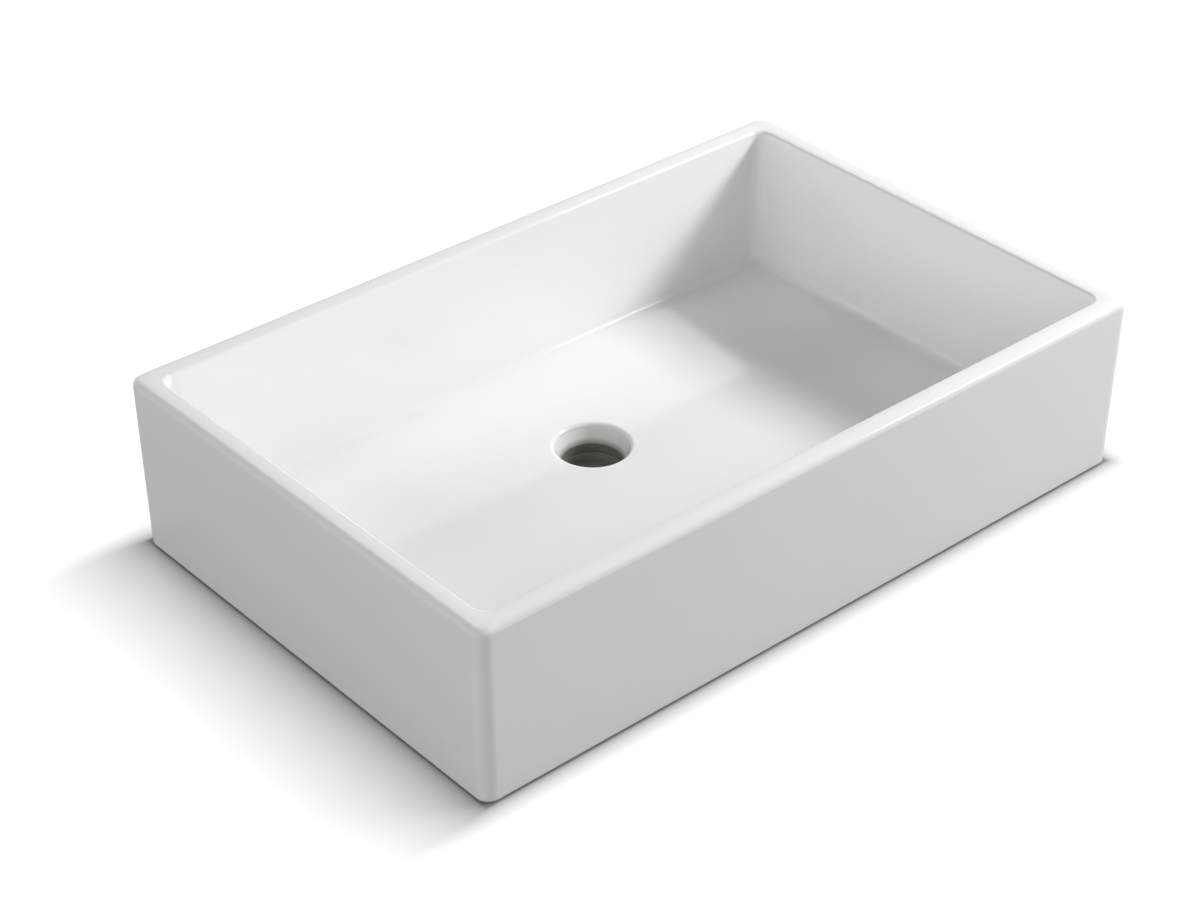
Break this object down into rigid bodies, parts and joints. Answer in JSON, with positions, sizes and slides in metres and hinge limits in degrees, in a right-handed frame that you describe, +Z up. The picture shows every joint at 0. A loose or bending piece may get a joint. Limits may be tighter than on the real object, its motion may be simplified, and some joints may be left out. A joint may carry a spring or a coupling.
{
  "type": "countertop basin",
  "caption": "Rectangular ceramic basin with straight walls, a thin rim and an open round waste hole; stands on a ground foot ring and is drawn down from below.",
  "frame": {"origin": "on the standing surface, under the middle of the basin", "axes": "+X along the basin, +Y towards its back (the waste hole's side), +Z up"},
  "size_m": [0.5998, 0.38, 0.1381],
  "materials": {
    "glazed_ceramic": "glossy white glaze, with a bare ground foot ring",
    "nylon": "natural grey nylon"
  },
  "bodies": {
    "root": {"basin_body": "glazed_ceramic", "fixing_sleeve_front_left": "nylon", "fixing_sleeve_front_right": "nylon", "fixing_sleeve_back_left": "nylon", "fixing_sleeve_back_right": "nylon"}
  },
  "joints": []
}
